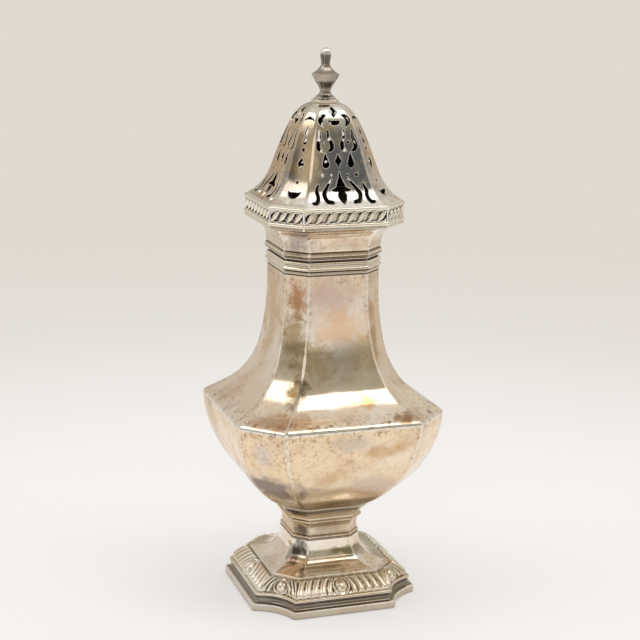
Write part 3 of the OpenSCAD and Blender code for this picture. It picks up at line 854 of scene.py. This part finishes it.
bandShape = {
    "share": 0.62, "bore": 21.7, "arris": 0.35, "step": 0.3, "bows": [0.45, 0, 0, 0, 0.45], "beyond": 22.3,
    "keys": [(23.6, 133.4), (23.6, 134.7), (23.5, 134.8), (23.5, 138.6), (23.6, 138.7), (23.6, 140.0)]}
panelShape = {
    "middle": 136.7, "inset": 0.3, "round": 1.4, "sink": 0.8, "roundSteps": 6, "lean": 0.05, "near": 0.3,
    "beyond": 22.5, "leastArea": 30, "corners": 12}
ropeShape = {
    "half": (1.05, 0.95, 2.05), "tail": -2.0, "head": 1.3, "taper": 0.2, "mainCount": 8, "mainPitch": 3.55,
    "cornerCount": 4, "cornerPitch": 2.85, "sunk": 0.35, "grid": (20, 14)}


def isPanel(face):
    middle = face.calc_center_median() / mm
    isUpright = abs(face.normal.z) < panelShape["lean"]
    isLevel = abs(middle.z - panelShape["middle"]) < panelShape["near"]
    return isUpright and isLevel and middle.xy.length > panelShape["beyond"]


def makeBorderRing():
    ring = makeRing("borderRing", bandShape)
    leastArea = panelShape["leastArea"] * mm * mm
    pick(ring)
    setMode("EDIT")
    selectBy(ring, "FACE", lambda face: isPanel(face) and face.calc_area() > leastArea)
    bpy.ops.mesh.inset(thickness=panelShape["inset"] * mm, use_individual=True)
    bpy.ops.mesh.bevel(offset=panelShape["round"] * mm, segments=panelShape["roundSteps"], profile=0.5,
                       affect="VERTICES", clamp_overlap=False)
    selectBy(ring, "FACE", lambda face: isPanel(face) and len(face.verts) > panelShape["corners"])
    sink = {"value": -panelShape["sink"] * mm}
    bpy.ops.mesh.extrude_region_shrink_fatten(TRANSFORM_OT_shrink_fatten=sink)
    setMode("OBJECT")
    polish(ring)
    settle(ring, "border_ring", "cover", ropeSilver)


def makeRopeBorder():
    leaveEdit()
    segments, rings = ropeShape["grid"]
    bpy.ops.mesh.primitive_uv_sphere_add(segments=segments, ring_count=rings, radius=1)
    lobe = bpy.context.object
    editAll(lobe)
    scaleChosen([size * mm for size in ropeShape["half"]])
    setMode("OBJECT")
    # a plump head above and a tail swept to one side below
    for vert in lobe.data.vertices:
        along = vert.co.z / (ropeShape["half"][2] * mm)
        vert.co.x *= 1 + ropeShape["taper"] * along
        vert.co.x += (ropeShape["head"] * along if along > 0 else ropeShape["tail"] * along * along) * mm
    copies = []
    corner = (1 + bandShape["share"]) / math.sqrt(2)
    for side in range(8):
        inCorner = side % 2 == 1
        count = ropeShape["cornerCount" if inCorner else "mainCount"]
        pitch = ropeShape["cornerPitch" if inCorner else "mainPitch"]
        away = bandShape["keys"][2][0] * (corner if inCorner else 1) - ropeShape["sunk"]
        for step in range(count):
            piece = lobe.copy()
            piece.data = lobe.data.copy()
            bpy.context.collection.objects.link(piece)
            across = (step - (count - 1) / 2) * pitch
            place = Matrix.Translation(Vector((across, -away, panelShape["middle"])) * mm)
            piece.data.transform(Matrix.Rotation(side * math.pi / 4, 4, "Z") @ place)
            copies.append(piece)
    bpy.data.objects.remove(lobe)
    rope = joinPieces(copies)
    rope.name = "ropeBorder"
    bpy.ops.object.shade_smooth()
    settle(rope, "rope_border", "cover", ropeSilver)


# dome

domeShape = {
    "share": 0.62, "wall": 0.75, "arris": 0.8, "step": 0.7, "smooth": 40, "cutFrom": 2, "cutDepth": 26,
    "cutStep": 0.35, "cutTip": 0.45, "midline": 0.3, "dropSteps": 16, "dotSteps": 14,
    "keys": [
        (23.3, 140.0), (20.9, 141.95), (18.9, 144.2), (16.8, 148.0), (15.4, 152.0), (13.5, 157.8),
        (11.4, 163.4), (8.8, 168.5), (6.2, 171.1), (3.6, 172.2)]}

# cuts in mm from the middle of a face and the dome's foot, drawn for the right half: strokes are
# (across, height, width), dots (across, height, radius), drops (across, height, radius, tip height)
piercing = {
    "mainDots": [(4.1, 20.0, 0.45), (5.85, 9.6, 0.55), (2.75, 9.6, 0.4)],
    "mainDrops": [(4.35, 13.1, 1.25, 17.1)], "cornerStrokes": [],
    "cornerDots": [(0, 17.6, 0.62), (0, 7.3, 0.5)],
    "cornerDrops": [(0, 22.8, 0.65, 25.2), (0, 19.9, 0.72, 22.0)],
    "mainStrokes": [
        [(2.9, 28.5, 0.7), (4.3, 27.8, 1.6), (4.75, 26.6, 1.8), (3.9, 25.1, 0.7)],
        [(2.75, 23.8, 0.6), (2.65, 21.6, 1.1), (1.85, 19.6, 1.45), (1.85, 18.1, 1.4), (2.9, 17.3, 0.9)],
        [(5.6, 23.8, 0.6), (5.7, 21.6, 1.1), (6.4, 19.6, 1.45), (6.4, 18.1, 1.4), (5.3, 17.3, 0.9)],
        [(2.8, 8.3, 0.6), (4.9, 5.8, 1.15), (6.2, 3.7, 1.5), (5.6, 1.9, 1.4), (3.6, 1.35, 1.1)],
        [(7.7, 6.8, 0.6), (8.6, 4.8, 1.25), (8.5, 2.8, 1.3), (9.5, 1.35, 1.2), (10.8, 1.4, 0.8)]],
    "mainShapes": [
        [(0, 31.4), (0.75, 30.3), (1.7, 29.4), (0.75, 28.5), (0, 27.6)],
        [(0, 26.9), (1.2, 26.8), (2.1, 27.1), (1.9, 26.1), (1.2, 25.45), (0, 25.2)],
        [(0, 16.5), (0.6, 15.1), (1.35, 14.1), (0.6, 13.1), (0, 11.7)],
        [(0, 10.9), (0.55, 8.8), (1.3, 7.0), (1.7, 5.9), (2.6, 5.5), (3.7, 4.9), (2.3, 4.5), (1.1, 4.5),
         (1.65, 3.3), (1.2, 2.0), (0, 0.7)]],
    "cornerShapes": [
        [(0, 28.1), (0.9, 27.85), (1.9, 26.9), (1.75, 26.7), (0.9, 27.1), (0, 27.15)],
        [(0, 15.3), (0.65, 14.2), (1.25, 13.1), (0.65, 12.0), (0, 10.7)],
        [(0, 4.3), (1.4, 4.25), (2.5, 4.6), (2.1, 3.4), (1.1, 2.6), (0, 2.35)]]}


def strokeOutline(stroke):
    path = smoothPath(stroke, domeShape["cutStep"])
    left, right, tips = [], [], []
    for index, (x, z, width) in enumerate(path):
        before, after = path[max(index - 1, 0)], path[min(index + 1, len(path) - 1)]
        along = (Vector(after[:2]) - Vector(before[:2])).normalized()
        across = Vector((-along.y, along.x)) * width / 2
        left.append(Vector((x, z)) + across)
        right.append(Vector((x, z)) - across)
        tip = domeShape["cutTip"] if index else -domeShape["cutTip"]
        tips.append(Vector((x, z)) + along * width * tip)
    return tips[:1] + left + tips[-1:] + right[::-1]


def dropOutline(x, z, radius, top):
    lean = math.asin(radius / (top - z))
    steps = domeShape["dropSteps"]
    turns = [lean - (math.pi + 2 * lean) * step / steps for step in range(steps + 1)]
    bowl = [Vector((x + radius * math.cos(turn), z + radius * math.sin(turn))) for turn in turns]
    return [Vector((x, top))] + bowl


def dotOutline(x, z, radius):
    half = domeShape["dotSteps"] // 2
    turns = [step * math.pi / half for step in range(2 * half)]
    return [Vector((x + radius * math.cos(turn), z + radius * math.sin(turn))) for turn in turns]


def mirrored(outline):
    return [Vector((-point.x, point.y)) for point in outline]


def piercingOutlines(kind):
    outlines = []
    halves = [strokeOutline(stroke) for stroke in piercing[kind + "Strokes"]]
    halves += [dropOutline(*drop) for drop in piercing[kind + "Drops"]]
    halves += [dotOutline(*dot) for dot in piercing[kind + "Dots"]]
    for outline in halves:
        outlines.append(outline)
        if sum(point.x for point in outline) / len(outline) > domeShape["midline"]:
            outlines.append(mirrored(outline))
    for shape in piercing[kind + "Shapes"]:
        side = [Vector(point) for point in shape]
        outlines.append(side + mirrored(side[-2:0:-1]))
    return outlines


def makeCutter(kind):
    parts = []
    foot = domeShape["keys"][0][1]
    for outline in piercingOutlines(kind):
        part = addCircle("cutter", len(outline), mm, "NGON")
        for vert, point in zip(part.data.vertices, outline):
            vert.co = (point.x * mm, -domeShape["cutFrom"] * mm, (point.y + foot) * mm)
        editAll(part)
        through = {"value": (0, -domeShape["cutDepth"] * mm, 0)}
        bpy.ops.mesh.extrude_region_move(TRANSFORM_OT_translate=through)
        closeEdit()
        parts.append(part)
    return joinPieces(parts)


def makeDome():
    dome = loftOctagon("piercedDome", domeShape, outlineOf(domeShape))
    roundArrises(dome, domeShape["arris"])
    thicken(dome, domeShape["wall"])
    for kind, start in (("main", 0), ("corner", 45)):
        cutter = makeCutter(kind)
        cutter.data.transform(Matrix.Rotation(math.radians(start), 4, "Z"))
        for side in range(4):
            applyModifier(dome, "BOOLEAN", {"object": cutter, "operation": "DIFFERENCE", "solver": "EXACT"})
            cutter.data.transform(Matrix.Rotation(math.pi / 2, 4, "Z"))
        bpy.data.objects.remove(cutter)
    polish(dome, domeShape["smooth"])
    settle(dome, "pierced_dome", "cover", domeSilver)


# finial and the plate under it

flangeShape = {
    "share": 0.62, "arris": 0.2, "step": 0.2, "bows": [0.03, 0.05, 0.05, -0.08],
    "keys": [(3.95, 171.85), (4.1, 172.05), (4.1, 172.65), (3.75, 172.95), (3.0, 173.5)]}
finialShape = {
    "share": 0.62, "arris": 0.15, "step": 0.35,
    "keys": [
        (3.2, 173.5), (2.5, 174.1), (1.75, 175.0), (1.6, 175.8), (1.95, 177.0), (2.9, 178.7), (3.6, 180.0),
        (4.05, 181.0)],
    "top": [
        (4.08, 181.35), (3.3, 181.85), (2.35, 182.7), (1.65, 183.7), (1.3, 184.7), (1.4, 185.9),
        (1.6, 187.4), (1.5, 188.6), (1.0, 189.5), (0.35, 190.0)]}


def makeCast(name, shape):
    # cast work, solid and closed at both ends
    piece = loftOctagon(name, shape, outlineOf(shape), closeLow=True, closeHigh=True)
    roundArrises(piece, shape["arris"])
    polish(piece)
    return piece


def makeFinial():
    flange = makeCast("finialFlange", flangeShape)
    settle(flange, "finial_flange", "cover", castSilver)
    finial = makeCast("castFinial", finialShape)
    settle(finial, "finial", "cover", finialSilver)


makeFootRim()
makeFootBorder()
makeFootRise()
makeStem()
makeBody()
makeNeckMoulding()
makeCoverCollar()
makeBorderRing()
makeRopeBorder()
makeDome()
makeFinial()
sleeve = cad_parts["cover_sleeve"]
sleeve.data.materials.clear()
sleeve.data.materials.append(bodySilver)
print("pieces made")


# camera at the photograph's angle

cameraSet = {
    "azimuth": -18.5, "elevation": 13.55, "distance": 546.2, "lens": 88.79, "roll": 0.83, "side": -0.62,
    "height": 96.86, "sensor": 36, "clip": 10}


def placeCamera():
    azimuth, elevation, roll = (math.radians(cameraSet[key]) for key in ("azimuth", "elevation", "roll"))
    turns = [(azimuth, "Z"), (math.pi / 2 - elevation, "X"), (roll, "Z")]
    across, tilt, spin = (Matrix.Rotation(turn, 4, axis) for turn, axis in turns)
    turned = across @ tilt @ spin
    target = Vector((0, 0, cameraSet["height"])) + across @ Vector((cameraSet["side"], 0, 0))
    place = target + turned @ Vector((0, 0, cameraSet["distance"]))
    leaveEdit()
    bpy.ops.object.camera_add()
    camera = bpy.context.object
    camera.data.lens = cameraSet["lens"]
    camera.data.sensor_width = cameraSet["sensor"]
    camera.data.sensor_fit = "HORIZONTAL"
    camera.data.clip_start = cameraSet["clip"] * mm
    camera.matrix_world = Matrix.Translation(place * mm) @ turned
    bpy.context.scene.camera = camera
    print("camera placed")


placeCamera()


# floor, backdrop and studio light

studio = {
    "floor": "#EEEFF3", "floorSize": 0.5, "floorLift": 0.31, "top": "#E0DAD1", "bottom": "#F5F2EE",
    "room": "#E4E0DA", "dark": "#ACA798", "back": "#D3CDC4", "card": "#FBF8F3",
    "cardAt": (-0.4, -0.8, 0.42), "flatAt": (0.25, 0.968, 0), "roomLight": 1.0, "lampHeight": 1.0,
    "floorSides": 96, "floorFade": (0.08, 0.45), "floorRough": 0.8, "sweep": (-0.19, -0.45),
    "above": (0.07, 0.13), "aheadEdge": (0.1, 0.5), "behindEdge": (-0.2, -0.5), "flatEdge": (0.86, 0.94),
    "cardEdge": (0.89, 0.95),
    "lamps": [((0.45, 0.23), (0.6, 0.4), 1.2), ((-0.68, 0.18), (0.46, 0.56), 0.95)]}


def makeFloor():
    # matt paper, pale and a little bright of itself, that fades into the backdrop
    floor = addCircle("floor", studio["floorSides"], studio["floorSize"], "NGON")
    material = bpy.data.materials.new("Paper sweep, matt")
    add = clearNodes(material)
    place = add("TexCoord").outputs["Object"]
    away = add("VectorMath", {"operation": "LENGTH"}, {0: place})
    fade = add("MapRange", span(*studio["floorFade"], curve="SMOOTHSTEP"), {0: away})
    rays = add("LightPath").outputs
    seen = add("Math", {"operation": "MAXIMUM"}, {0: rays["Is Camera Ray"], 1: rays["Is Glossy Ray"]})
    lift = add("Math", {"operation": "MULTIPLY", 1: studio["floorLift"]}, {0: seen})
    shade = hexColour(studio["floor"])
    matt = {"Base Color": shade, "Roughness": studio["floorRough"], "Emission Color": shade}
    paper = add("BsdfPrincipled", matt, {"Emission Strength": lift})
    clear = add("BsdfTransparent")
    mixed = add("MixShader", {}, {0: fade, 1: paper, 2: clear})
    add("OutputMaterial", {}, {"Surface": mixed})
    floor.data.materials.append(material)


def makeRoom(front):
    # warm and light all round, dimmer above the camera, greyer behind, with a grey flat far back
    # that only the back of the metal mirrors and a white card to the left of the camera
    world = bpy.data.worlds.new("studio")
    bpy.context.scene.world = world
    add = clearNodes(world)
    direction = add("TexCoord").outputs["Generated"]
    height = add("SeparateXYZ", {}, {0: direction}).outputs["Z"]
    above = add("MapRange", span(*studio["above"], curve="SMOOTHSTEP"), {0: height})
    flat, card = studio["flatAt"], Vector(studio["cardAt"]).normalized()
    zones = [(front, "aheadEdge", True, "dark"), (front, "behindEdge", False, "back"),
             (flat, "flatEdge", True, "dark"), (card, "cardEdge", False, "card")]
    layers = []
    for aim, edge, isAbove, shade in zones:
        toward = add("VectorMath", {"operation": "DOT_PRODUCT", 1: aim}, {0: direction})
        mask = add("MapRange", span(*studio[edge], curve="SMOOTHSTEP"), {0: toward})
        if isAbove:
            mask = add("Math", product, {0: mask, 1: above})
        layers.append((mask, studio[shade]))
    room = layColours(add, studio["room"], layers)
    slope = add("MapRange", span(*studio["sweep"]), {0: height})
    sweep = layColours(add, studio["top"], [(slope, studio["bottom"])])
    rays = add("LightPath").outputs
    shown = add("Mix", {"data_type": "RGBA"}, {0: rays["Is Camera Ray"], 6: room, 7: sweep})
    background = add("Background", {"Strength": studio["roomLight"]}, {"Color": shown})
    add("OutputWorld", {}, {"Surface": background})


def makeStudio():
    azimuth = math.radians(cameraSet["azimuth"])
    side = Vector((math.cos(azimuth), math.sin(azimuth), 0))
    front = Vector((math.sin(azimuth), -math.cos(azimuth), 0))
    makeFloor()
    makeRoom(front)
    # two softboxes overhead, square to the camera, each (right, forward), (width, depth) and power
    for (right, forward), (width, depth), power in studio["lamps"]:
        leaveEdit()
        spot = side * right + front * forward + Vector((0, 0, studio["lampHeight"]))
        bpy.ops.object.light_add(type="AREA", location=spot, rotation=(0, 0, azimuth))
        lamp = bpy.context.object
        lamp.data.shape = "RECTANGLE"
        lamp.data.size, lamp.data.size_y = width, depth
        lamp.data.energy = power
    print("studio made")


makeStudio()
bpy.context.scene.view_settings.view_transform = "Standard"
